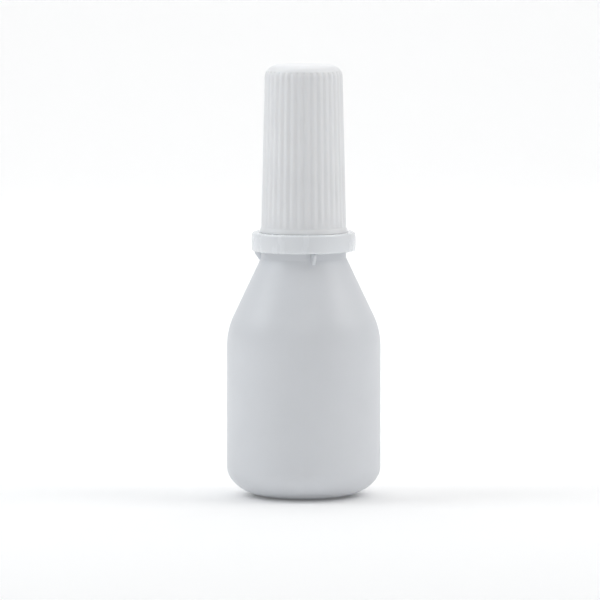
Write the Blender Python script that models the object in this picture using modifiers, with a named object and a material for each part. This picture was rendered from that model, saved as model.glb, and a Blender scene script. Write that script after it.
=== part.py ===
"""Squeeze dropper bottle: bottle, press-in dropper tip, tamper ring, screw cap and tip seal.

Lengths are in metres. The bottle stands on z = 0 and every piece is centred on the z axis,
which is also the axis that the cap and the ring turn about. The thread is right-handed, so
turning the cap anticlockwise, seen from above, lifts it.
"""
import math

import bmesh
import bpy
from mathutils import Matrix

MM = 0.001
GAP = 0.3 * MM
TURN_STEPS = 48
SMALL_TURN_STEPS = 32
MERGE_DISTANCE = 0.00001
SHARP_ANGLE = math.radians(32)

# Bottle: foot, heel, body and shoulder
BODY_RADIUS = 15.0 * MM
WALL = 1.0 * MM
FOOT_RADIUS = 6.5 * MM
FOOT_INNER_RADIUS = 4.3 * MM
PUSH_UP = 0.9 * MM
HEEL_HEIGHT = 5.75 * MM
SHOULDER_ROUND = 14.0 * MM
SHOULDER_ANGLE = math.radians(25.4)

# Bottle: neck
NECK_FOOT_RADIUS = 8.3 * MM
NECK_FOOT_Z = 46.6 * MM
NECK_RADIUS = 6.45 * MM
NECK_BORE_RADIUS = 4.95 * MM
NECK_TOP_Z = 62.5 * MM
NECK_STEP_Z = 50.3 * MM
NECK_CHAMFER = 0.3 * MM
NECK_FOOT_BORE = 7.1 * MM
SNAP_BEAD_RADIUS = 8.9 * MM
SNAP_BEAD_HEIGHT = 1.1 * MM

# Ratchet lugs, three under the ring
LUG_COUNT = 3
LUG_FIRST_ANGLE = math.radians(-77)
LUG_REACH = 10.0 * MM
LUG_WIDTH = 1.0 * MM
LUG_HEIGHT = 2.0 * MM

# Tamper ring
RING_RADIUS = 10.15 * MM
RING_WALL = 0.9 * MM
RING_BOTTOM_Z = 48.0 * MM
RING_TOP_Z = 51.65 * MM
RING_FLANGE_RADIUS = 7.4 * MM
RING_CHAMFER = 0.3 * MM
RING_TOP_CHAMFER = 0.3 * MM

# Two-start thread
LEAD = 6.0 * MM
STARTS = 2
THREAD_STEPS = 36
THREAD_BASE_WIDTH = 1.1 * MM
THREAD_CREST_WIDTH = 0.6 * MM
THREAD_ROOT_DEPTH = 0.25 * MM
NECK_THREAD_CREST = 7.1 * MM
NECK_THREAD_Z = 54.0 * MM
NECK_THREAD_TURNS = 0.9
CAP_THREAD_CREST = 6.75 * MM
CAP_THREAD_TURNS = 0.7
THREAD_FADE = 0.12
THREAD_FADE_LEFT = 0.15

# Screw cap
CAP_BOTTOM_Z = RING_TOP_Z + GAP
CAP_TOP_Z = 84.3 * MM
CAP_FOOT_RADIUS = 8.3 * MM
CAP_TOP_RADIUS = 7.55 * MM
CAP_LIP_RADIUS = 8.7 * MM
CAP_LIP_HEIGHT = 0.2 * MM
CAP_FLARE_HEIGHT = 0.7 * MM
CAP_ROUND = 2.6 * MM
CAP_THREAD_BORE = 7.35 * MM
CAP_THREAD_TOP_Z = 64.6 * MM
CAP_BORE_FOOT = 6.6 * MM
CAP_BORE_TOP = 6.2 * MM
CAP_TOP_WALL = 1.5 * MM
SEAL_BEAD_RADIUS = 5.6 * MM
RIB_COUNT = 36
GROOVE_WIDTH = 0.55 * MM
GROOVE_DEPTH = 0.28 * MM
GROOVE_BOTTOM_Z = 53.0 * MM
GROOVE_TOP_Z = 83.8 * MM

# Dropper tip
TIP_END_Z = 80.6 * MM
TIP_END_RADIUS = 1.5 * MM
TIP_FOOT_RADIUS = 3.4 * MM
TIP_FOOT_Z = 66.0 * MM
TIP_FLANGE_RADIUS = 6.2 * MM
TIP_FLANGE_HEIGHT = 1.0 * MM
TIP_FLANGE_EDGE = 0.2 * MM
TIP_FILLET = 1.4 * MM
PLUG_RADIUS = 4.45 * MM
PLUG_BEAD_RADIUS = 4.65 * MM
PLUG_BORE_RADIUS = 3.5 * MM
PLUG_BOTTOM_Z = 52.5 * MM
PLUG_BEAD_DROPS = (3.0 * MM, 6.0 * MM)
CHANNEL_RADIUS = 0.7 * MM
ORIFICE_RADIUS = 0.4 * MM
ORIFICE_LENGTH = 0.6 * MM
MOUTH_RADIUS = 0.9 * MM
MOUTH_DEPTH = 0.9 * MM

# Tip seal
SEAL_RADIUS = 5.9 * MM
SEAL_THICKNESS = 1.2 * MM
SEAL_CUP_RADIUS = 2.7 * MM
SEAL_CUP_BORE = 2.0 * MM
SEAL_CUP_BOTTOM_Z = 79.9 * MM
SEAL_EDGE = 0.2 * MM
SEAL_PIN_RADIUS = 0.45 * MM
SEAL_PIN_DEPTH = 0.3 * MM


def clear_scene():
    """Remove every object of the open file."""
    for item in list(bpy.data.objects):
        bpy.data.objects.remove(item, do_unlink=True)


def collection(name):
    """Return a collection of the scene, made if it is missing."""
    found = bpy.data.collections.get(name)
    if found is None:
        found = bpy.data.collections.new(name)
        bpy.context.scene.collection.children.link(found)
    return found


def add_object(name, mesh, group="dropper_bottle"):
    """Put a mesh into the scene as an object of the named collection."""
    piece = bpy.data.objects.new(name, mesh)
    collection(group).objects.link(piece)
    return piece


def add_guide(name, mesh):
    """Put a mesh into the scene as a hidden cutter or joining shape."""
    guide = add_object(name, mesh, "cutters")
    guide.hide_render = True
    guide.display_type = "WIRE"
    return guide


def plastic(name, colour, roughness):
    """A plain plastic: linear colour, roughness, no metal."""
    material = bpy.data.materials.new(name)
    material.use_nodes = True
    shader = material.node_tree.nodes["Principled BSDF"]
    shader.inputs["Base Color"].default_value = (*colour, 1.0)
    shader.inputs["Roughness"].default_value = roughness
    shader.inputs["Metallic"].default_value = 0.0
    return material


def arc(centre, radii, start, end, steps):
    """Points (radius, height) along an ellipse's arc, from start to end degrees."""
    points = []
    for step in range(steps + 1):
        angle = math.radians(start + (end - start) * step / steps)
        radius = centre[0] + radii[0] * math.cos(angle)
        height = centre[1] + radii[1] * math.sin(angle)
        points.append((radius, height))
    return points


def turned(name, profile, steps=TURN_STEPS, closed=False):
    """Turn a profile of (radius, height) points about the z axis."""
    vertices = [(radius, 0.0, height) for radius, height in profile]
    edges = [(index, index + 1) for index in range(len(profile) - 1)]
    if closed:
        edges.append((len(profile) - 1, 0))
    mesh = bpy.data.meshes.new(name)
    mesh.from_pydata(vertices, edges, [])
    piece = add_object(name, mesh)
    screw = piece.modifiers.new("turn", "SCREW")
    screw.axis = "Z"
    screw.angle = 2 * math.pi
    screw.steps = steps
    screw.render_steps = steps
    screw.use_merge_vertices = True
    screw.merge_threshold = MERGE_DISTANCE
    return piece


def combine(piece, guide, operation):
    """Join a guide to a piece, or cut it away."""
    boolean = piece.modifiers.new(guide.name, "BOOLEAN")
    boolean.operation = operation
    boolean.solver = "EXACT"
    boolean.object = guide


def finish(piece, material):
    """Turn the modifiers into plain faces, shade them and give the piece its plastic."""
    evaluated = piece.evaluated_get(bpy.context.evaluated_depsgraph_get())
    mesh = bpy.data.meshes.new_from_object(evaluated)
    piece.modifiers.clear()
    piece.data = mesh
    mesh.shade_smooth()
    mesh.set_sharp_from_angle(angle=SHARP_ANGLE)
    mesh.materials.clear()
    mesh.materials.append(material)


def guide_from(name, shape):
    """Store a bmesh as a guide object."""
    mesh = bpy.data.meshes.new(name)
    shape.to_mesh(mesh)
    shape.free()
    return add_guide(name, mesh)


def thread_ridge(name, root, crest, start_z, turns, phase):
    """One helical ridge of trapezoid section, sinking into its wall at both ends."""
    shape = bmesh.new()
    half_base = THREAD_BASE_WIDTH / 2
    half_crest = THREAD_CREST_WIDTH / 2
    section = ((root, half_base), (root, -half_base), (crest, -half_crest), (crest, half_crest))
    corners = [shape.verts.new((radius, 0.0, height)) for radius, height in section]
    face = shape.faces.new(corners)
    steps = round(turns * THREAD_STEPS)
    bmesh.ops.spin(
        shape,
        geom=[face, *face.edges, *face.verts],
        axis=(0, 0, 1),
        cent=(0, 0, 0),
        dvec=(0, 0, turns * LEAD / steps),
        angle=turns * 2 * math.pi,
        steps=steps,
    )
    for vertex in shape.verts:
        sink_thread_end(vertex, root, crest, turns)
    bmesh.ops.recalc_face_normals(shape, faces=shape.faces)
    place = Matrix.Translation((0, 0, start_z)) @ Matrix.Rotation(phase, 4, "Z")
    bmesh.ops.transform(shape, matrix=place, verts=shape.verts)
    return guide_from(name, shape)


def sink_thread_end(vertex, root, crest, turns):
    """Move a crest vertex near the ridge's end back towards the root."""
    radius = math.hypot(vertex.co.x, vertex.co.y)
    if abs(radius - root) < MERGE_DISTANCE:
        return
    progress = vertex.co.z / LEAD
    fade = min(1.0, progress / THREAD_FADE, (turns - progress) / THREAD_FADE)
    faded = root + (crest - root) * max(THREAD_FADE_LEFT, fade)
    vertex.co.x *= faded / radius
    vertex.co.y *= faded / radius


def lug(index):
    """A wedge under the ring: full reach at its top, running down into the shoulder."""
    shape = bmesh.new()
    bmesh.ops.create_cube(shape, size=1.0)
    top = RING_BOTTOM_Z - GAP
    inner = NECK_FOOT_RADIUS - WALL / 2
    for vertex in shape.verts:
        is_upper = vertex.co.z > 0
        outer = LUG_REACH if is_upper else NECK_FOOT_RADIUS
        vertex.co.x = outer if vertex.co.x > 0 else inner
        vertex.co.y *= LUG_WIDTH
        vertex.co.z = top if is_upper else top - LUG_HEIGHT
    angle = LUG_FIRST_ANGLE + index * 2 * math.pi / LUG_COUNT
    bmesh.ops.rotate(shape, verts=shape.verts, matrix=Matrix.Rotation(angle, 3, "Z"))
    return guide_from(f"lug_{index + 1}", shape)


def shoulder_centre():
    """Centre of the shoulder's round, which meets the cone that runs up to the neck."""
    centre_radius = BODY_RADIUS - SHOULDER_ROUND
    cone_foot = centre_radius + SHOULDER_ROUND * math.cos(SHOULDER_ANGLE)
    cone_foot_z = NECK_FOOT_Z - (cone_foot - NECK_FOOT_RADIUS) / math.tan(SHOULDER_ANGLE)
    return centre_radius, cone_foot_z - SHOULDER_ROUND * math.sin(SHOULDER_ANGLE)


def bottle_outside():
    """The bottle's outer outline, from the neck's rim down to the middle of the base."""
    round_radii = (SHOULDER_ROUND, SHOULDER_ROUND)
    heel_radii = (BODY_RADIUS - FOOT_RADIUS, HEEL_HEIGHT)
    neck = [
        (NECK_RADIUS - NECK_CHAMFER, NECK_TOP_Z),
        (NECK_RADIUS, NECK_TOP_Z - NECK_CHAMFER),
        (NECK_RADIUS, NECK_STEP_Z),
        (SNAP_BEAD_RADIUS - 2 * NECK_CHAMFER, NECK_STEP_Z),
        (SNAP_BEAD_RADIUS, NECK_STEP_Z - 0.4 * MM),
        (SNAP_BEAD_RADIUS, NECK_STEP_Z - 0.8 * MM),
        (NECK_FOOT_RADIUS, NECK_STEP_Z - SNAP_BEAD_HEIGHT),
        (NECK_FOOT_RADIUS, NECK_FOOT_Z),
    ]
    shoulder = arc(shoulder_centre(), round_radii, math.degrees(SHOULDER_ANGLE), 0, 5)
    heel = arc((FOOT_RADIUS, HEEL_HEIGHT), heel_radii, 0, -90, 7)
    base = [(FOOT_INNER_RADIUS, 0.0), (0.7 * FOOT_INNER_RADIUS, 0.7 * PUSH_UP), (0.0, PUSH_UP)]
    return neck + shoulder + heel + base


def bottle_inside():
    """The bottle's inner outline, from the middle of the floor up to the neck's rim."""
    round_radii = (SHOULDER_ROUND - WALL, SHOULDER_ROUND - WALL)
    heel_radii = (BODY_RADIUS - WALL - FOOT_RADIUS, HEEL_HEIGHT - WALL)
    floor = [(0.0, PUSH_UP + WALL), (0.7 * FOOT_INNER_RADIUS, 0.7 * PUSH_UP + WALL)]
    heel = arc((FOOT_RADIUS, HEEL_HEIGHT), heel_radii, -90, 0, 5)
    shoulder = arc(shoulder_centre(), round_radii, 0, math.degrees(SHOULDER_ANGLE), 4)
    neck = [
        (NECK_FOOT_BORE, NECK_FOOT_Z + 0.3 * MM),
        (NECK_FOOT_BORE, NECK_STEP_Z - 1.7 * MM),
        (NECK_BORE_RADIUS, NECK_STEP_Z + 0.1 * MM),
        (NECK_BORE_RADIUS, NECK_TOP_Z - NECK_CHAMFER),
        (NECK_BORE_RADIUS + NECK_CHAMFER, NECK_TOP_Z),
    ]
    return floor + heel + shoulder + neck


def make_bottle():
    """The blow-moulded bottle with its snap bead, thread and lugs."""
    piece = turned("bottle_body", bottle_inside() + bottle_outside())
    root = NECK_RADIUS - THREAD_ROOT_DEPTH
    for start in range(STARTS):
        phase = start * 2 * math.pi / STARTS
        name = f"neck_thread_{start + 1}"
        ridge = thread_ridge(
            name, root, NECK_THREAD_CREST, NECK_THREAD_Z, NECK_THREAD_TURNS, phase
        )
        combine(piece, ridge, "UNION")
    for index in range(LUG_COUNT):
        combine(piece, lug(index), "UNION")
    finish(piece, plastic("bottle_plastic", (0.72, 0.74, 0.77), 0.38))


def make_ring():
    """The tamper ring: a lip below the snap bead, a wall around it, a flat flange above."""
    lip_radius = NECK_FOOT_RADIUS + GAP
    hollow_radius = RING_RADIUS - RING_WALL
    lip_top = NECK_STEP_Z - SNAP_BEAD_HEIGHT - GAP
    flange_bottom = NECK_STEP_Z + GAP
    profile = [
        (lip_radius, RING_BOTTOM_Z + RING_CHAMFER),
        (lip_radius, lip_top),
        (hollow_radius, lip_top + RING_CHAMFER),
        (hollow_radius, flange_bottom),
        (RING_FLANGE_RADIUS, flange_bottom),
        (RING_FLANGE_RADIUS, RING_TOP_Z),
        (RING_RADIUS - RING_TOP_CHAMFER, RING_TOP_Z),
        (RING_RADIUS, RING_TOP_Z - RING_TOP_CHAMFER),
        (RING_RADIUS, RING_BOTTOM_Z + RING_CHAMFER),
        (RING_RADIUS - RING_CHAMFER, RING_BOTTOM_Z),
        (lip_radius + RING_CHAMFER, RING_BOTTOM_Z),
    ]
    piece = turned("tamper_ring", profile, closed=True)
    finish(piece, plastic("ring_plastic", (0.76, 0.78, 0.81), 0.3))


def groove_cutter():
    """Upright bars that follow the cap's draft, leave the ribs and run out on the crown."""
    height = GROOVE_TOP_Z - GROOVE_BOTTOM_Z
    run = CAP_TOP_Z - CAP_ROUND - (CAP_BOTTOM_Z + CAP_FLARE_HEIGHT)
    draft = math.atan((CAP_FOOT_RADIUS - CAP_TOP_RADIUS) / run)
    middle_z = (GROOVE_TOP_Z + GROOVE_BOTTOM_Z) / 2
    climbed = middle_z - CAP_BOTTOM_Z - CAP_FLARE_HEIGHT
    face_radius = CAP_FOOT_RADIUS - climbed * math.tan(draft)
    bar_depth = 4 * GROOVE_DEPTH
    bar_radius = face_radius - GROOVE_DEPTH + bar_depth / 2
    shape = bmesh.new()
    for index in range(RIB_COUNT):
        angle = index * 2 * math.pi / RIB_COUNT
        place = (
            Matrix.Rotation(angle, 4, "Z")
            @ Matrix.Translation((bar_radius, 0, middle_z))
            @ Matrix.Rotation(-draft, 4, "Y")
            @ Matrix.Diagonal((bar_depth, GROOVE_WIDTH, height, 1))
        )
        bmesh.ops.create_cube(shape, size=1.0, matrix=place)
    return guide_from("cap_grooves", shape)


def cap_profile():
    """The cap's outline: down the outside, round the lip and up the inside to its roof."""
    roof_z = CAP_TOP_Z - CAP_TOP_WALL
    bead_z = roof_z - GAP - SEAL_THICKNESS - GAP
    crown = arc(
        (CAP_TOP_RADIUS - CAP_ROUND, CAP_TOP_Z - CAP_ROUND), (CAP_ROUND, CAP_ROUND), 90, 0, 5
    )
    outside = [
        (CAP_FOOT_RADIUS, CAP_BOTTOM_Z + CAP_FLARE_HEIGHT),
        (CAP_LIP_RADIUS, CAP_BOTTOM_Z + CAP_LIP_HEIGHT),
        (CAP_LIP_RADIUS, CAP_BOTTOM_Z),
    ]
    inside = [
        (CAP_THREAD_BORE, CAP_BOTTOM_Z),
        (CAP_THREAD_BORE, CAP_THREAD_TOP_Z - 0.5 * MM),
        (CAP_BORE_FOOT, CAP_THREAD_TOP_Z),
        (CAP_BORE_TOP, bead_z - 1.0 * MM),
        (SEAL_BEAD_RADIUS, bead_z - 0.4 * MM),
        (SEAL_BEAD_RADIUS, bead_z),
        (CAP_BORE_TOP, bead_z + 0.1 * MM),
        (CAP_BORE_TOP, roof_z),
        (0.0, roof_z),
    ]
    return [(0.0, CAP_TOP_Z)] + crown + outside + inside


def make_cap():
    """The ribbed cap. Its thread lies one gap below the neck's, as when screwed tight."""
    piece = turned("screw_cap", cap_profile())
    combine(piece, groove_cutter(), "DIFFERENCE")
    flank = (THREAD_BASE_WIDTH - THREAD_CREST_WIDTH) / 2
    slope = flank / (CAP_THREAD_BORE - CAP_THREAD_CREST)
    overlap = NECK_THREAD_CREST - CAP_THREAD_CREST
    drop = THREAD_CREST_WIDTH + slope * overlap + GAP
    root = CAP_THREAD_BORE + THREAD_ROOT_DEPTH
    for start in range(STARTS):
        phase = start * 2 * math.pi / STARTS
        name = f"cap_thread_{start + 1}"
        ridge = thread_ridge(
            name, root, CAP_THREAD_CREST, NECK_THREAD_Z - drop, CAP_THREAD_TURNS, phase
        )
        combine(piece, ridge, "UNION")
    finish(piece, plastic("cap_plastic", (0.78, 0.8, 0.83), 0.33))


def make_dropper_tip():
    """The press-in tip: hollow plug with two beads, flange on the rim, tapered nozzle."""
    flange_z = NECK_TOP_Z + GAP
    flange_top = flange_z + TIP_FLANGE_HEIGHT
    lip = (TIP_END_RADIUS - MOUTH_RADIUS) / 2
    outside = arc((TIP_END_RADIUS - lip, TIP_END_Z - lip), (lip, lip), 90, 0, 3)
    outside += [
        (TIP_FOOT_RADIUS, TIP_FOOT_Z),
        (TIP_FOOT_RADIUS + 0.8 * MM, flange_top + 0.6 * MM),
        (TIP_FOOT_RADIUS + TIP_FILLET, flange_top),
        (TIP_FLANGE_RADIUS - TIP_FLANGE_EDGE, flange_top),
        (TIP_FLANGE_RADIUS, flange_top - TIP_FLANGE_EDGE),
        (TIP_FLANGE_RADIUS, flange_z),
        (PLUG_RADIUS, flange_z),
    ]
    for drop in PLUG_BEAD_DROPS:
        bead_z = flange_z - drop
        outside += [
            (PLUG_RADIUS, bead_z + 0.6 * MM),
            (PLUG_BEAD_RADIUS, bead_z + 0.2 * MM),
            (PLUG_BEAD_RADIUS, bead_z - 0.2 * MM),
            (PLUG_RADIUS, bead_z - 0.6 * MM),
        ]
    outside += [
        (PLUG_RADIUS, PLUG_BOTTOM_Z + 0.8 * MM),
        (PLUG_RADIUS - 0.4 * MM, PLUG_BOTTOM_Z),
    ]
    inside = [
        (PLUG_BORE_RADIUS, PLUG_BOTTOM_Z),
        (PLUG_BORE_RADIUS, flange_z),
        (CHANNEL_RADIUS, TIP_FOOT_Z + 3.0 * MM),
        (CHANNEL_RADIUS, TIP_END_Z - 2.0 * MM),
        (ORIFICE_RADIUS, TIP_END_Z - MOUTH_DEPTH - ORIFICE_LENGTH),
        (ORIFICE_RADIUS, TIP_END_Z - MOUTH_DEPTH),
        (MOUTH_RADIUS, TIP_END_Z),
    ]
    piece = turned("dropper_tip", outside + inside, SMALL_TURN_STEPS, closed=True)
    finish(piece, plastic("tip_plastic", (0.7, 0.73, 0.76), 0.3))


def make_seal():
    """The soft seal: a disc in the cap's roof with a cup over the tip and a central pin."""
    top_z = CAP_TOP_Z - CAP_TOP_WALL - GAP
    bottom_z = top_z - SEAL_THICKNESS
    cup_roof = TIP_END_Z + GAP + 0.1 * MM
    profile = [
        (0.0, top_z),
        (SEAL_RADIUS - SEAL_EDGE, top_z),
        (SEAL_RADIUS, top_z - SEAL_EDGE),
        (SEAL_RADIUS, bottom_z),
        (SEAL_CUP_RADIUS, bottom_z),
        (SEAL_CUP_RADIUS, SEAL_CUP_BOTTOM_Z),
        (SEAL_CUP_BORE, SEAL_CUP_BOTTOM_Z),
        (SEAL_CUP_BORE, cup_roof),
        (SEAL_PIN_RADIUS, cup_roof),
        (0.3 * MM, TIP_END_Z - 0.2 * MM),
        (0.0, TIP_END_Z - SEAL_PIN_DEPTH),
    ]
    piece = turned("tip_seal", profile, SMALL_TURN_STEPS)
    finish(piece, plastic("seal_plastic", (0.8, 0.8, 0.78), 0.6))


def main():
    clear_scene()
    make_bottle()
    make_dropper_tip()
    make_ring()
    make_cap()
    make_seal()


main()
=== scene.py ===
import math

import bmesh
import bpy
import numpy as np
from mathutils import Matrix, Vector


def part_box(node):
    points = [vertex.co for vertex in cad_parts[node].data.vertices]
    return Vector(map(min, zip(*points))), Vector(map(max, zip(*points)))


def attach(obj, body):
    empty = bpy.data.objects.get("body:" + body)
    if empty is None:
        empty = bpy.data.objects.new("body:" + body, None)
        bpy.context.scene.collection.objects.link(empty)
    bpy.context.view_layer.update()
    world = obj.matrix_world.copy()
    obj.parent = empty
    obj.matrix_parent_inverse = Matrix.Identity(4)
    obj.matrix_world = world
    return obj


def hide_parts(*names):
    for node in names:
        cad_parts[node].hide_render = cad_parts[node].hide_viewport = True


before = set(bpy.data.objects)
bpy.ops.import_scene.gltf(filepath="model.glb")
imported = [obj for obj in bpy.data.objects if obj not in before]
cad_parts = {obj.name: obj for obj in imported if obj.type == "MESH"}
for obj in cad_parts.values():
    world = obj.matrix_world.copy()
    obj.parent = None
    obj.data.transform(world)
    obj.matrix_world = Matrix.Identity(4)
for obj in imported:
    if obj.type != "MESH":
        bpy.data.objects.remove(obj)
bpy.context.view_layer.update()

MM = 0.001
GAP = 0.3 * MM

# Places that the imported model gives
BODY_LOW, BODY_HIGH = (np.array(corner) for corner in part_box("bottle_body"))
RING_LOW, RING_HIGH = (np.array(corner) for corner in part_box("tamper_ring"))
CAP_LOW, CAP_HIGH = (np.array(corner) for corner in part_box("screw_cap"))
TIP_LOW, TIP_HIGH = (np.array(corner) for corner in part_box("dropper_tip"))
SEAL_LOW, SEAL_HIGH = (np.array(corner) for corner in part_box("tip_seal"))
BODY_RADIUS = (BODY_HIGH[0] - BODY_LOW[0]) / 2
RING_RADIUS = (RING_HIGH[0] - RING_LOW[0]) / 2
CAP_LIP_RADIUS = (CAP_HIGH[0] - CAP_LOW[0]) / 2
TIP_FLANGE_RADIUS = (TIP_HIGH[0] - TIP_LOW[0]) / 2
SEAL_RADIUS = (SEAL_HIGH[0] - SEAL_LOW[0]) / 2
NECK_TOP = BODY_HIGH[2]
RING_BOTTOM = RING_LOW[2]
RING_TOP = RING_HIGH[2]
CAP_BOTTOM = CAP_LOW[2]
CAP_TOP = CAP_HIGH[2]

# Bottle
WALL = 1.0 * MM
FOOT_RADIUS = 6.5 * MM
FOOT_INNER_RADIUS = 4.3 * MM
HEEL_HEIGHT = 5.75 * MM
SHOULDER_ROUND = 14.0 * MM
SHOULDER_ANGLE = math.radians(25.4)
NECK_FOOT = 46.6 * MM
NECK_FOOT_RADIUS = 8.3 * MM
NECK_RADIUS = 6.45 * MM
NECK_BORE = 4.95 * MM
NECK_STEP = 50.3 * MM
SNAP_BEAD_RADIUS = 8.9 * MM
SNAP_BEAD_HEIGHT = 1.1 * MM
PUSH_UP = 0.9 * MM
PUSH_UP_RADIUS = 3.0 * MM
SEAM_WIDTH = 0.11 * MM
SEAM_HEIGHT = 0.035 * MM
WELD_WIDTH = 0.28 * MM
WELD_DROP = 0.28 * MM
WELD_REACH = 3.6 * MM
WELD_END = 4.1 * MM
BOTTLE_SEGMENTS = 360

# Lugs
LUG_COUNT = 3
LUG_FIRST_ANGLE = math.radians(-77)
LUG_WIDTH = 1.0 * MM
LUG_TAPER = 0.5
LUG_ROUNDING = 0.2 * MM

# Tamper ring
RING_WALL = 0.9 * MM
RING_FLANGE_RADIUS = 7.4 * MM
RING_SEGMENTS = 256

# Thread
LEAD = 6.0 * MM
STARTS = 2
THREAD_BASE = 1.1 * MM
THREAD_CREST = 0.5 * MM
THREAD_HEIGHT = 0.65 * MM
THREAD_FADE = 0.1
NECK_THREAD_START = 54.0 * MM
NECK_THREAD_TURNS = 0.9
CAP_THREAD_START = 52.8 * MM
CAP_THREAD_TURNS = 0.7
CAP_THREAD_HEIGHT = 0.6 * MM
THREAD_ROW = 0.12 * MM

# Cap
RIB_COUNT = 36
RIB_SEGMENTS = 12
RIB_DEPTH = 0.19 * MM
RIB_SHARPNESS = 1.3
RIB_FOOT = 0.85 * MM
RIB_FOOT_END = 1.35 * MM
CAP_FOOT_RADIUS = 8.3 * MM
CAP_TOP_RADIUS = 7.55 * MM
CAP_ROUND = 2.6 * MM
CAP_RIB_DROP = 1.1 * MM
CAP_LEDGE = 0.05 * MM
CAP_LIP_DROP = 0.28 * MM
CAP_FLARE = 0.70 * MM
CAP_ROOF = 1.5 * MM
CAP_THREAD_BORE = 7.35 * MM
CAP_THREAD_ROOM = 12.3 * MM
CAP_BORE = 6.6 * MM
CAP_BORE_TOP = 6.2 * MM
CAP_BORE_STEP = 13 * MM
SEAL_BEAD_RADIUS = 5.6 * MM
SEAL_BEAD_DROP = 1.8 * MM
GATE_RADIUS = 0.55 * MM
GATE_DEPTH = 0.12 * MM

# Dropper tip
TIP_FLANGE_HEIGHT = 1.0 * MM
TIP_END_RADIUS = 1.5 * MM
TIP_FOOT_RADIUS = 3.4 * MM
TIP_TAPER = 14.6 * MM
PLUG_RADIUS = 4.45 * MM
PLUG_BEAD_RADIUS = 4.65 * MM
PLUG_BEAD_DROPS = (3 * MM, 6 * MM)
PLUG_BORE = 3.5 * MM
CHANNEL_RADIUS = 0.7 * MM
ORIFICE_RADIUS = 0.4 * MM
MOUTH_RADIUS = 0.9 * MM
TIP_SEGMENTS = 144

# Tip seal
SEAL_THICKNESS = 1.2 * MM
SEAL_CUP_RADIUS = 2.7 * MM
SEAL_CUP_BORE = 2.0 * MM
SEAL_PIN_RADIUS = 0.45 * MM
SEAL_SEGMENTS = 128

# Plastic
PLASTIC_IOR = 1.5
GLOW_DEPTH = 1.2 * MM
GLOW_SPREAD = (1.0, 0.95, 0.9)

# Floor and back wall, in metres
SWEEP_FRONT = -1.6
SWEEP_DEPTH = 1.2
SWEEP_BEND = 0.35
SWEEP_HEIGHT = 1.6
SWEEP_HALF_WIDTH = 2.2
SWEEP_DROP = 0.02 * MM
BEND_STEPS = 12

# Camera
CAMERA_DISTANCE = 1.2
CAMERA_ELEVATION = math.radians(4.85)
CAMERA_WAIST = 42 * MM
AIM_LEFT = 0.72 * MM
AIM_DROP = 3.7 * MM
LENS = 369
SENSOR = 36


# ---- outlines -------------------------------------------------------------------------

def rounded(corners):
    """Outline through (radius, height, rounding) corners, each rounding a true arc."""
    points = [np.array(corner[:2]) for corner in corners]
    outline = [points[0]]
    for index in range(1, len(points) - 1):
        outline += corner_arc(points[index - 1:index + 2], corners[index][2])
    outline.append(points[-1])
    return outline


def rounded_loop(corners):
    """A closed outline with every corner rounded."""
    points = [np.array(corner[:2]) for corner in corners]
    count = len(points)
    outline = []
    for index in range(count):
        three = [points[index - 1], points[index], points[(index + 1) % count]]
        outline += corner_arc(three, corners[index][2])
    return outline


def corner_arc(three, rounding):
    """Points of the arc that rounds the middle one of three points."""
    before, corner, after = three
    to_before = before - corner
    to_after = after - corner
    length_before = np.linalg.norm(to_before)
    length_after = np.linalg.norm(to_after)
    cosine = np.clip(to_before @ to_after / (length_before * length_after), -1, 1)
    opening = math.acos(cosine)
    turn = math.pi - opening
    if rounding <= 0 or turn < 0.02:
        return [corner]
    reach = min(rounding * math.tan(turn / 2), 0.48 * length_before, 0.48 * length_after)
    radius = reach / math.tan(turn / 2)
    to_before = to_before / length_before
    to_after = to_after / length_after
    bisector = to_before + to_after
    centre = corner + bisector / np.linalg.norm(bisector) * radius / math.sin(opening / 2)
    start = corner + to_before * reach - centre
    steps = max(2, math.ceil(math.degrees(turn) / 9))
    side = np.sign(start[0] * to_before[1] - start[1] * to_before[0]) or 1.0
    direction = -side
    result = []
    for step in range(steps + 1):
        angle = direction * turn * step / steps
        turned_x = start[0] * math.cos(angle) - start[1] * math.sin(angle)
        turned_y = start[0] * math.sin(angle) + start[1] * math.cos(angle)
        result.append(centre + np.array([turned_x, turned_y]))
    return result


def ellipse_arc(centre, radii, start, end, steps):
    """Points along an ellipse's arc, from start to end degrees."""
    angles = np.radians(np.linspace(start, end, steps + 1))
    return [
        np.array([centre[0] + radii[0] * math.cos(angle), centre[1] + radii[1] * math.sin(angle)])
        for angle in angles
    ]


def divided(outline, limit, closed=False):
    """The outline with no stretch longer than the limit at each height."""
    points = list(outline) + ([outline[0]] if closed else [])
    result = []
    for here, there in zip(points[:-1], points[1:]):
        middle = (here + there) / 2
        length = np.linalg.norm(there - here)
        pieces = max(1, math.ceil(length / limit(middle[0], middle[1])))
        result += [here + (there - here) * step / pieces for step in range(pieces)]
    if not closed:
        result.append(points[-1])
    return result


def turned(name, outline, segments, closed=False, shape=None):
    """Closed mesh turned about the z axis; shape moves its points before they are stored."""
    outline = np.array(outline)
    angles = np.arange(segments) * 2 * math.pi / segments
    radius = np.repeat(outline[:, :1], segments, axis=1)
    height = np.repeat(outline[:, 1:], segments, axis=1)
    angle = np.repeat(angles[None, :], len(outline), axis=0)
    if shape:
        radius, height = shape(radius, height, angle)
    mesh = bmesh.new()
    rows = []
    for index, point in enumerate(outline):
        if point[0] < 1e-7:
            rows.append([mesh.verts.new((0, 0, height[index, 0]))] * segments)
            continue
        row = [
            mesh.verts.new((r * math.cos(a), r * math.sin(a), z))
            for r, z, a in zip(radius[index], height[index], angle[index])
        ]
        rows.append(row)
    pairs = list(zip(rows[:-1], rows[1:])) + ([(rows[-1], rows[0])] if closed else [])
    for upper, lower in pairs:
        for index in range(segments):
            following = (index + 1) % segments
            ring = [upper[index], lower[index], lower[following], upper[following]]
            corners = list(dict.fromkeys(ring))
            mesh.faces.new(corners)
    bmesh.ops.recalc_face_normals(mesh, faces=mesh.faces)
    return finished(name, mesh)


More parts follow.
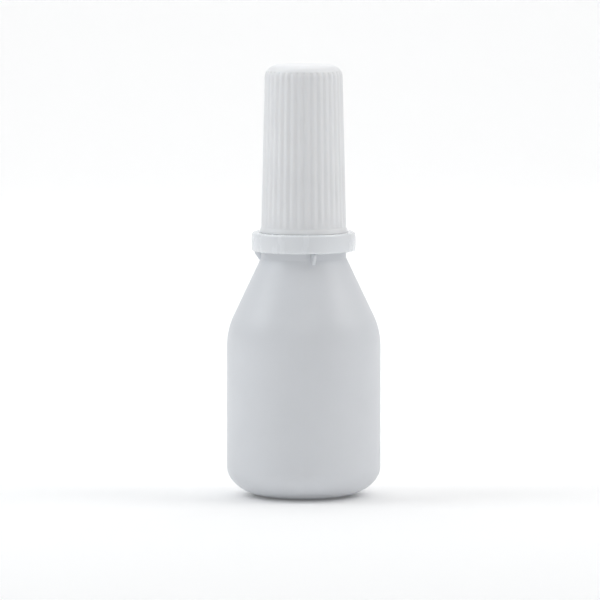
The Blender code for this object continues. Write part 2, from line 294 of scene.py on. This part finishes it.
def finished(name, shape):
    """Store a bmesh as a smooth-shaded object."""
    mesh = bpy.data.meshes.new(name)
    shape.to_mesh(mesh)
    shape.free()
    mesh.shade_smooth()
    piece = bpy.data.objects.new(name, mesh)
    bpy.context.scene.collection.objects.link(piece)
    return piece


def smoothstep(low, high, value):
    """0 below low, 1 above high and smooth between."""
    share = np.clip((value - low) / (high - low), 0, 1)
    return share * share * (3 - 2 * share)


# ---- shapes on the turned surfaces ------------------------------------------------------

def thread_height(height, angle, start_z, turns):
    """How far a two-start thread stands out at each point, from 0 to 1."""
    result = np.zeros_like(height)
    for start in range(STARTS):
        for lap in (0, 1):
            progress = (angle / (2 * math.pi) - start / STARTS) + lap
            away = np.abs(height - start_z - LEAD * progress)
            slope = (THREAD_BASE - THREAD_CREST) / 2
            ridge = smoothstep(0, 1, (THREAD_BASE / 2 - away) / slope)
            fade_in = smoothstep(0, THREAD_FADE, progress)
            ends = fade_in * smoothstep(0, THREAD_FADE, turns - progress)
            inside = (progress > 0) & (progress < turns)
            result = np.maximum(result, np.where(inside, ridge * ends, 0))
    return result


def bottle_shape(radius, height, angle):
    """Thread on the neck, mould seams front and back, and a pinched-off weld under the base."""
    on_neck = (radius > NECK_RADIUS - 0.1 * MM) & (height > NECK_STEP + 1.5 * MM)
    thread = thread_height(height, angle, NECK_THREAD_START, NECK_THREAD_TURNS)
    moved = radius + np.where(on_neck, thread * THREAD_HEIGHT, 0)
    sideways = np.abs(np.cos(angle)) * radius
    outside = outer_wall(radius, height)
    seam = np.exp(-((sideways / SEAM_WIDTH) ** 2)) * SEAM_HEIGHT
    moved = moved + np.where(outside, seam, 0)
    along = np.abs(np.sin(angle)) * radius
    weld = np.exp(-((sideways / WELD_WIDTH) ** 2)) * (1 - smoothstep(WELD_REACH, WELD_END, along))
    under = (height < PUSH_UP + 0.05 * MM) & (radius < FOOT_RADIUS)
    lowered = height - np.where(under, weld * WELD_DROP, 0)
    return moved, lowered


def outer_wall(radius, height):
    """True on the outer wall of body and shoulder, below the neck."""
    return (height < NECK_FOOT) & (height > 0.4 * MM) & (radius > wall_middle(height))


def wall_middle(height):
    """Radius half way through the bottle's wall."""
    cone = NECK_FOOT_RADIUS + (NECK_FOOT - height) * math.tan(SHOULDER_ANGLE)
    down = np.clip((HEEL_HEIGHT - height) / HEEL_HEIGHT, 0, 1)
    heel = FOOT_RADIUS + (BODY_RADIUS - FOOT_RADIUS) * np.sqrt(1 - down * down)
    return np.minimum(np.minimum(cone, BODY_RADIUS), heel) - WALL / 2


def cap_shape(radius, height, angle):
    """Upright ribs outside, a ledge at their tops, the thread inside and a gate mark on top."""
    bore_radius = np.where(height < CAP_BOTTOM + CAP_BORE_STEP, CAP_THREAD_BORE, CAP_BORE)
    outside = radius > bore_radius + 0.1 * MM
    wave = 0.5 + 0.5 * np.cos(RIB_COUNT * angle)
    groove = wave ** RIB_SHARPNESS
    low = smoothstep(CAP_BOTTOM + RIB_FOOT, CAP_BOTTOM + RIB_FOOT_END, height)
    rib_top = CAP_TOP - CAP_RIB_DROP
    high = 1 - smoothstep(rib_top - 0.45 * MM, rib_top - 0.05 * MM, height)
    ledge = 1 - smoothstep(rib_top - 0.06 * MM, rib_top + 0.06 * MM, height)
    ledge = ledge * smoothstep(rib_top - 2 * MM, rib_top - 0.3 * MM, height) * CAP_LEDGE
    moved = radius + np.where(outside, ledge - groove * low * high * RIB_DEPTH, 0)
    bore = (radius < CAP_LIP_RADIUS - 1.0 * MM) & (height < CAP_BOTTOM + 10 * MM) & ~outside
    thread = thread_height(height, angle, CAP_THREAD_START, CAP_THREAD_TURNS)
    moved = moved - np.where(bore, thread * CAP_THREAD_HEIGHT, 0)
    gate = np.exp(-((radius / GATE_RADIUS) ** 4)) * GATE_DEPTH
    lowered = height - np.where(height > CAP_TOP - 0.3 * MM, gate, 0)
    return moved, lowered


# ---- materials --------------------------------------------------------------------------

class Nodes:
    """Short calls for building a material's node tree."""

    def __init__(self, name):
        self.material = bpy.data.materials.new(name)
        self.material.use_nodes = True
        self.tree = self.material.node_tree
        self.shader = self.tree.nodes["Principled BSDF"]

    def node(self, kind, **settings):
        made = self.tree.nodes.new(kind)
        for key, value in settings.items():
            setattr(made, key, value)
        return made

    def link(self, source, target):
        self.tree.links.new(source, target)

    def noise(self, scale, detail=3.0, roughness=0.5, stretch=(1, 1, 1)):
        """Noise in object space, its lumps about 1/scale metres across."""
        place = self.node("ShaderNodeTexCoord")
        mapping = self.node("ShaderNodeMapping")
        mapping.inputs["Scale"].default_value = stretch
        self.link(place.outputs["Object"], mapping.inputs["Vector"])
        noise = self.node("ShaderNodeTexNoise")
        noise.inputs["Scale"].default_value = scale
        noise.inputs["Detail"].default_value = detail
        noise.inputs["Roughness"].default_value = roughness
        self.link(mapping.outputs["Vector"], noise.inputs["Vector"])
        return noise.outputs["Fac"]

    def ranged(self, value, low, high, from_low=0.3, from_high=0.7):
        """A value spread over a new range."""
        spread = self.node("ShaderNodeMapRange")
        spread.inputs["From Min"].default_value = from_low
        spread.inputs["From Max"].default_value = from_high
        spread.inputs["To Min"].default_value = low
        spread.inputs["To Max"].default_value = high
        self.link(value, spread.inputs["Value"])
        return spread.outputs["Result"]

    def ramp(self, value, colours):
        """Colour by value through (place, colour) stops."""
        ramp = self.node("ShaderNodeValToRGB")
        stops = ramp.color_ramp.elements
        stops[0].position, stops[0].color = colours[0][0], (*colours[0][1], 1)
        stops[1].position, stops[1].color = colours[-1][0], (*colours[-1][1], 1)
        for place, colour in colours[1:-1]:
            stop = stops.new(place)
            stop.color = (*colour, 1)
        self.link(value, ramp.inputs["Fac"])
        return ramp.outputs["Color"]

    def bump(self, value, distance, strength, below=None):
        """A bump over an earlier bump."""
        bump = self.node("ShaderNodeBump")
        bump.inputs["Distance"].default_value = distance
        bump.inputs["Strength"].default_value = strength
        self.link(value, bump.inputs["Height"])
        if below:
            self.link(below, bump.inputs["Normal"])
        return bump.outputs["Normal"]


def white_plastic(name, colour, roughness, peel, ripple, soft, streaks):
    """Moulded white plastic: cloudy colour, orange peel, long ripples and a few dull scuffs."""
    nodes = Nodes(name)
    shader = nodes.shader
    cloud = nodes.noise(70, detail=4)
    light = tuple(min(1.0, channel * 1.012) for channel in colour)
    dark = tuple(channel * 0.982 for channel in colour)
    nodes.link(nodes.ramp(cloud, [(0.32, dark), (0.5, colour), (0.68, light)]),
               shader.inputs["Base Color"])
    scuff = nodes.noise(420, detail=6, roughness=0.7, stretch=(1, 1, 0.25))
    nodes.link(nodes.ranged(scuff, roughness - 0.05, roughness + 0.07), shader.inputs["Roughness"])
    waves = nodes.bump(nodes.noise(95, detail=1, stretch=streaks), ripple, 1.0)
    grain = nodes.bump(nodes.noise(1900, detail=2), peel, 1.0, waves)
    nodes.link(grain, shader.inputs["Normal"])
    shader.inputs["Subsurface Weight"].default_value = soft
    shader.inputs["Subsurface Radius"].default_value = GLOW_SPREAD
    shader.inputs["Subsurface Scale"].default_value = GLOW_DEPTH
    shader.inputs["IOR"].default_value = PLASTIC_IOR
    return nodes.material


def plain_white(name, level, roughness, glow):
    """The floor and backdrop: a white sheet, faintly lit from behind."""
    nodes = Nodes(name)
    shader = nodes.shader
    shader.inputs["Emission Color"].default_value = (1, 1, 1, 1)
    shader.inputs["Emission Strength"].default_value = glow
    tint = nodes.ramp(nodes.noise(3), [(0.3, (level,) * 3), (0.7, (level * 0.995,) * 3)])
    nodes.link(tint, shader.inputs["Base Color"])
    shader.inputs["Roughness"].default_value = roughness
    return nodes.material


# ---- pieces -----------------------------------------------------------------------------

def place(piece, material, body, node, slot):
    """Give a piece its plastic, hang it on its body's empty and hide the model part it replaces.
    """
    piece.data.materials.append(material)
    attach(piece, body)
    if node:
        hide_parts(node)


def shoulder_start():
    """Where the shoulder's round meets its cone, and the round's centre."""
    centre_radius = BODY_RADIUS - SHOULDER_ROUND
    cone_radius = centre_radius + SHOULDER_ROUND * math.cos(SHOULDER_ANGLE)
    cone_z = NECK_FOOT - (cone_radius - NECK_FOOT_RADIUS) / math.tan(SHOULDER_ANGLE)
    return centre_radius, cone_z - SHOULDER_ROUND * math.sin(SHOULDER_ANGLE)


def bottle_outline():
    """From the middle of the inner floor, up the inside, over the rim, down to the base."""
    centre_radius, round_z = shoulder_start()
    inner_round = SHOULDER_ROUND - WALL
    angle = math.degrees(SHOULDER_ANGLE)
    inside = rounded([
        (0.0, PUSH_UP + WALL, 0),
        (PUSH_UP_RADIUS, 0.7 * PUSH_UP + WALL, 3 * MM),
        (FOOT_RADIUS, WALL, 1 * MM),
        (FOOT_RADIUS + 0.01 * MM, WALL, 0),
    ])
    inside += ellipse_arc((FOOT_RADIUS, HEEL_HEIGHT),
                          (BODY_RADIUS - WALL - FOOT_RADIUS, HEEL_HEIGHT - WALL), -88, 0, 20)
    inside += ellipse_arc((centre_radius, round_z), (inner_round, inner_round), 0, angle, 10)
    bore_foot = NECK_FOOT_RADIUS - WALL - 0.2 * MM
    upper_inside = rounded([
        tuple(inside[-1]) + (0,),
        (bore_foot, NECK_FOOT + 0.3 * MM, 1 * MM),
        (bore_foot, NECK_STEP - 1.7 * MM, 0.8 * MM),
        (NECK_BORE, NECK_STEP + 0.1 * MM, 0.8 * MM),
        (NECK_BORE, NECK_TOP, 0.3 * MM),
        (NECK_RADIUS, NECK_TOP, 0.4 * MM),
        (NECK_RADIUS, NECK_STEP, 0.25 * MM),
        (SNAP_BEAD_RADIUS - 0.6 * MM, NECK_STEP, 0.2 * MM),
        (SNAP_BEAD_RADIUS, NECK_STEP - 0.45 * MM, 0.3 * MM),
        (SNAP_BEAD_RADIUS, NECK_STEP - 0.8 * MM, 0.2 * MM),
        (NECK_FOOT_RADIUS, NECK_STEP - SNAP_BEAD_HEIGHT, 0.2 * MM),
        (NECK_FOOT_RADIUS, NECK_FOOT, 0.7 * MM),
        tuple(ellipse_arc((centre_radius, round_z), (SHOULDER_ROUND,) * 2, angle, 0, 1)[0]) + (0,),
    ])
    outside = ellipse_arc((centre_radius, round_z), (SHOULDER_ROUND,) * 2, angle, 0, 14)[1:]
    outside += ellipse_arc((FOOT_RADIUS, HEEL_HEIGHT),
                           (BODY_RADIUS - FOOT_RADIUS, HEEL_HEIGHT), 0, -90, 28)
    base = rounded([
        (FOOT_RADIUS, 0.0, 0),
        (FOOT_INNER_RADIUS, 0.0, 0.6 * MM),
        (PUSH_UP_RADIUS, 0.7 * PUSH_UP, 1.5 * MM),
        (0.0, PUSH_UP, 0),
    ])
    return inside + upper_inside[1:] + outside + base[1:]


def bottle_limit(radius, height):
    """Finer rows where the thread runs and under the base."""
    if height > NECK_STEP + 1 * MM and radius > NECK_RADIUS - 0.2 * MM:
        return THREAD_ROW
    if height < PUSH_UP + 0.05 * MM and radius < FOOT_RADIUS:
        return 0.2 * MM
    return 0.8 * MM


def make_bottle(material):
    """The bottle in one wall: body, shoulder, neck, thread and snap bead."""
    outline = divided(bottle_outline(), bottle_limit)
    piece = turned("bottle_shell", outline, BOTTLE_SEGMENTS, shape=bottle_shape)
    place(piece, material, "bottle", "bottle_body", "bottle")


def make_lug(index, material):
    """A wedge with rounded edges below the ring, narrower at its outer end."""
    top = RING_BOTTOM - 0.1 * MM
    shape = bmesh.new()
    inner = NECK_FOOT_RADIUS - 0.5 * MM
    reach = RING_RADIUS - 0.05 * MM
    outline = [(inner, top), (reach, top), (reach - 0.15 * MM, top - 0.7 * MM),
               (NECK_FOOT_RADIUS + 0.7 * MM, top - 1.9 * MM), (inner, top - 2.6 * MM)]
    face = shape.faces.new([shape.verts.new((r, -LUG_WIDTH / 2, z)) for r, z in outline])
    grown = bmesh.ops.extrude_face_region(shape, geom=[face])
    new_verts = [item for item in grown["geom"] if isinstance(item, bmesh.types.BMVert)]
    bmesh.ops.translate(shape, verts=new_verts, vec=(0, LUG_WIDTH, 0))
    for vert in shape.verts:
        vert.co.y *= 1 - LUG_TAPER * smoothstep(NECK_FOOT_RADIUS, reach, vert.co.x)
    bmesh.ops.recalc_face_normals(shape, faces=shape.faces)
    bmesh.ops.bevel(shape, geom=shape.edges[:], offset=LUG_ROUNDING, segments=4, profile=0.5,
                    affect="EDGES", clamp_overlap=True)
    angle = LUG_FIRST_ANGLE + index * 2 * math.pi / LUG_COUNT
    bmesh.ops.rotate(shape, verts=shape.verts, matrix=Matrix.Rotation(angle, 3, "Z"))
    piece = finished(f"lug_{index + 1}", shape)
    place(piece, material, "bottle", None, "bottle")


def make_ring(material):
    """The tamper ring: a lip below the snap bead, a wall around it and a flat flange above."""
    lip = NECK_FOOT_RADIUS + GAP
    hollow = RING_RADIUS - RING_WALL
    lip_top = NECK_STEP - SNAP_BEAD_HEIGHT - GAP
    flange = NECK_STEP + GAP
    corners = [
        (lip, RING_BOTTOM + 0.1 * MM, 0.15 * MM),
        (lip, lip_top, 0.1 * MM),
        (hollow, lip_top + GAP, 0.1 * MM),
        (hollow, flange, 0.15 * MM),
        (RING_FLANGE_RADIUS, flange, 0.1 * MM),
        (RING_FLANGE_RADIUS, RING_TOP, 0.15 * MM),
        (RING_RADIUS - 0.1 * MM, RING_TOP, 0.5 * MM),
        (RING_RADIUS, RING_TOP - 1.2 * MM, 1.5 * MM),
        (RING_RADIUS, RING_BOTTOM + 0.6 * MM, 0.8 * MM),
        (RING_RADIUS - 0.05 * MM, RING_BOTTOM, 0.3 * MM),
        (lip + 0.1 * MM, RING_BOTTOM, 0.1 * MM),
    ]
    outline = divided(rounded_loop(corners), lambda radius, height: 0.6 * MM, closed=True)
    piece = turned("ring_band", outline, RING_SEGMENTS, closed=True)
    place(piece, material, "ring", "tamper_ring", "ring")


def cap_outline():
    """From the top's middle down the outside, round the lip and up to the roof."""
    lip = CAP_BOTTOM - CAP_LIP_DROP
    roof = CAP_TOP - CAP_ROOF
    bead = roof - SEAL_BEAD_DROP
    return rounded([
        (0.0, CAP_TOP, 0),
        (CAP_TOP_RADIUS, CAP_TOP, CAP_ROUND),
        (CAP_FOOT_RADIUS, CAP_BOTTOM + CAP_FLARE, 0.25 * MM),
        (CAP_LIP_RADIUS, lip + 0.05 * MM, 0.04 * MM),
        (CAP_LIP_RADIUS - 0.05 * MM, lip, 0.04 * MM),
        (CAP_THREAD_BORE, lip, 0.2 * MM),
        (CAP_THREAD_BORE, CAP_BOTTOM + CAP_THREAD_ROOM, 0.2 * MM),
        (CAP_BORE, CAP_BOTTOM + CAP_THREAD_ROOM + 0.5 * MM, 0.3 * MM),
        (CAP_BORE_TOP, bead - 1.0 * MM, 0.3 * MM),
        (SEAL_BEAD_RADIUS, bead - 0.4 * MM, 0.2 * MM),
        (SEAL_BEAD_RADIUS, bead, 0.1 * MM),
        (CAP_BORE_TOP, bead + 0.1 * MM, 0.05 * MM),
        (CAP_BORE_TOP, roof, 0.3 * MM),
        (0.0, roof, 0),
    ])


def cap_limit(radius, height):
    """Finer rows along the thread and where the ribs fade out."""
    if radius < CAP_LIP_RADIUS - 1.0 * MM and height < CAP_BOTTOM + 8 * MM:
        return THREAD_ROW
    if height < CAP_BOTTOM + 2 * MM or height > CAP_TOP - 4 * MM:
        return 0.15 * MM
    return 1.0 * MM


def make_cap(material):
    """The tall ribbed cap with its inside."""
    outline = divided(cap_outline(), cap_limit)
    piece = turned("cap_shell", outline, RIB_COUNT * RIB_SEGMENTS, shape=cap_shape)
    place(piece, material, "cap", "screw_cap", "cap")


def make_tip(material):
    """The press-in tip: hollow plug with two beads, flange, and a nozzle with its channel."""
    flange = NECK_TOP + GAP
    top = flange + TIP_FLANGE_HEIGHT
    end = TIP_HIGH[2]
    bottom = TIP_LOW[2]
    corners = [
        (MOUTH_RADIUS, end, 0.25 * MM),
        (TIP_END_RADIUS, end, 0.3 * MM),
        (TIP_END_RADIUS + 0.06 * MM, end - 1.1 * MM, 0.3 * MM),
        (TIP_END_RADIUS, end - 1.5 * MM, 0.4 * MM),
        (TIP_FOOT_RADIUS, end - TIP_TAPER, 2 * MM),
        (4.1 * MM, top + 0.7 * MM, 1 * MM),
        (4.9 * MM, top, 0.4 * MM),
        (TIP_FLANGE_RADIUS, top, 0.25 * MM),
        (TIP_FLANGE_RADIUS, flange, 0.15 * MM),
        (PLUG_RADIUS, flange, 0.1 * MM),
    ]
    for drop in PLUG_BEAD_DROPS:
        bead = flange - drop
        corners += [
            (PLUG_RADIUS, bead + 0.6 * MM, 0.2 * MM),
            (PLUG_BEAD_RADIUS, bead + 0.2 * MM, 0.2 * MM),
            (PLUG_BEAD_RADIUS, bead - 0.2 * MM, 0.2 * MM),
            (PLUG_RADIUS, bead - 0.6 * MM, 0.2 * MM),
        ]
    corners += [
        (PLUG_RADIUS, bottom + 0.8 * MM, 0.4 * MM),
        (PLUG_RADIUS - 0.4 * MM, bottom, 0.15 * MM),
        (PLUG_BORE, bottom, 0.1 * MM),
        (PLUG_BORE, flange, 0.5 * MM),
        (CHANNEL_RADIUS, end - 11.6 * MM, 1 * MM),
        (CHANNEL_RADIUS, end - 2.0 * MM, 0.2 * MM),
        (ORIFICE_RADIUS, end - 1.5 * MM, 0.1 * MM),
        (ORIFICE_RADIUS, end - 0.9 * MM, 0.2 * MM),
    ]
    outline = divided(rounded_loop(corners), lambda radius, height: 0.8 * MM, closed=True)
    piece = turned("tip_nozzle", outline, TIP_SEGMENTS, closed=True)
    place(piece, material, "bottle", "dropper_tip", "tip")


def make_seal(material):
    """The soft seal: a disc under the cap's roof, a cup over the tip and a central pin."""
    top = SEAL_HIGH[2]
    bottom = top - SEAL_THICKNESS
    cup_bottom = SEAL_LOW[2]
    roof = TIP_HIGH[2] + 0.4 * MM
    outline = rounded([
        (0.0, top, 0),
        (SEAL_RADIUS, top, 0.25 * MM),
        (SEAL_RADIUS, bottom, 0.2 * MM),
        (SEAL_CUP_RADIUS, bottom, 0.2 * MM),
        (SEAL_CUP_RADIUS, cup_bottom, 0.2 * MM),
        (SEAL_CUP_BORE, cup_bottom, 0.15 * MM),
        (SEAL_CUP_BORE, roof, 0.2 * MM),
        (SEAL_PIN_RADIUS, roof, 0.05 * MM),
        (0.3 * MM, TIP_HIGH[2] - 0.2 * MM, 0.1 * MM),
        (0.0, TIP_HIGH[2] - 0.3 * MM, 0),
    ])
    outline = divided(outline, lambda radius, height: 0.5 * MM)
    piece = turned("seal_disc", outline, SEAL_SEGMENTS)
    place(piece, material, "seal", "tip_seal", "seal")


# ---- studio -----------------------------------------------------------------------------

def area_light(name, location, target, size, power, colour=(1, 1, 1)):
    """A soft rectangular light facing its target."""
    light = bpy.data.lights.new(name, "AREA")
    light.shape = "RECTANGLE"
    light.size, light.size_y = size
    light.energy = power
    light.color = colour
    lamp = bpy.data.objects.new(name, light)
    lamp.location = location
    aim = Vector(target) - Vector(location)
    lamp.rotation_euler = aim.to_track_quat("-Z", "Y").to_euler()
    bpy.context.scene.collection.objects.link(lamp)


def make_studio():
    """Two side lights, one in front, one above, one for the back wall, and a dim surround."""
    centre = (0, 0, CAP_TOP / 2)
    area_light("left_box", (-0.52, -0.02, 0.50), centre, (0.4, 0.4), 1.62, (0.95, 0.98, 1.0))
    area_light("right_box", (0.52, -0.02, 0.50), centre, (0.4, 0.4), 1.46, (1.0, 0.995, 0.99))
    area_light("front_box", (0, -0.80, 0.60), centre, (0.8, 0.4), 1.34)
    area_light("top_box", (0, 0.08, 1.10), (0, 0, 0), (1.2, 0.8), 2.55)
    area_light("backdrop_box", (0, 0.45, 0.80), (0, 1.0, 0), (1.4, 0.3), 5.0)
    world = bpy.data.worlds.new("studio")
    world.use_nodes = True
    background = world.node_tree.nodes["Background"]
    background.inputs["Color"].default_value = (0.97, 0.985, 1.0, 1)
    background.inputs["Strength"].default_value = 0.21
    bpy.context.scene.world = world


def make_floor():
    """A pale sweep: floor, round bend and back wall."""
    low = -SWEEP_DROP
    bend_start = SWEEP_DEPTH - SWEEP_BEND
    profile = [(SWEEP_FRONT, low), (bend_start, low)]
    for step in range(1, BEND_STEPS + 1):
        angle = math.radians(90 * step / BEND_STEPS)
        rise = low + SWEEP_BEND - SWEEP_BEND * math.cos(angle)
        profile.append((bend_start + SWEEP_BEND * math.sin(angle), rise))
    profile.append((SWEEP_DEPTH, SWEEP_HEIGHT))
    shape = bmesh.new()
    rows = [
        (shape.verts.new((-SWEEP_HALF_WIDTH, y, z)), shape.verts.new((SWEEP_HALF_WIDTH, y, z)))
        for y, z in profile
    ]
    for near, far in zip(rows[:-1], rows[1:]):
        shape.faces.new((near[0], near[1], far[1], far[0]))
    sweep = finished("sweep", shape)
    sweep.data.materials.append(plain_white("sweep_white", 0.94, 0.9, 0.06))


def make_camera():
    """A long lens a little above the bottle's middle, looking along +Y and slightly down."""
    back = CAMERA_DISTANCE * math.cos(CAMERA_ELEVATION)
    rise = CAMERA_DISTANCE * math.sin(CAMERA_ELEVATION)
    eye = Vector((0, -back, CAMERA_WAIST + rise))
    aim = Vector((-AIM_LEFT, 0, CAMERA_WAIST - AIM_DROP))
    data = bpy.data.cameras.new("camera")
    data.lens = LENS
    data.sensor_width = SENSOR
    data.clip_end = 20
    camera = bpy.data.objects.new("camera", data)
    camera.location = eye
    camera.rotation_euler = (aim - eye).to_track_quat("-Z", "Y").to_euler()
    bpy.context.scene.collection.objects.link(camera)
    bpy.context.scene.camera = camera


def make_object():
    """Every piece in its own plastic."""
    bottle_white = white_plastic(
        "bottle_white", (0.745, 0.762, 0.79), 0.42, 0.010 * MM, 0.05 * MM, 0.12, (1, 1, 0.4))
    ring_white = white_plastic(
        "ring_white", (0.83, 0.85, 0.875), 0.24, 0.004 * MM, 0.015 * MM, 0.3, (1, 1, 1))
    cap_white = white_plastic(
        "cap_white", (0.878, 0.885, 0.898), 0.34, 0.005 * MM, 0.02 * MM, 0.3, (1, 1, 0.3))
    tip_white = white_plastic(
        "tip_white", (0.82, 0.84, 0.86), 0.3, 0.003 * MM, 0.02 * MM, 0.45, (1, 1, 0.5))
    seal_white = white_plastic(
        "seal_white", (0.85, 0.85, 0.83), 0.6, 0.02 * MM, 0.02 * MM, 0.3, (1, 1, 1))
    make_bottle(bottle_white)
    for index in range(LUG_COUNT):
        make_lug(index, bottle_white)
    make_ring(ring_white)
    make_cap(cap_white)
    make_tip(tip_white)
    make_seal(seal_white)


make_object()
make_floor()
make_studio()
make_camera()
bpy.context.scene.view_settings.view_transform = "Standard"
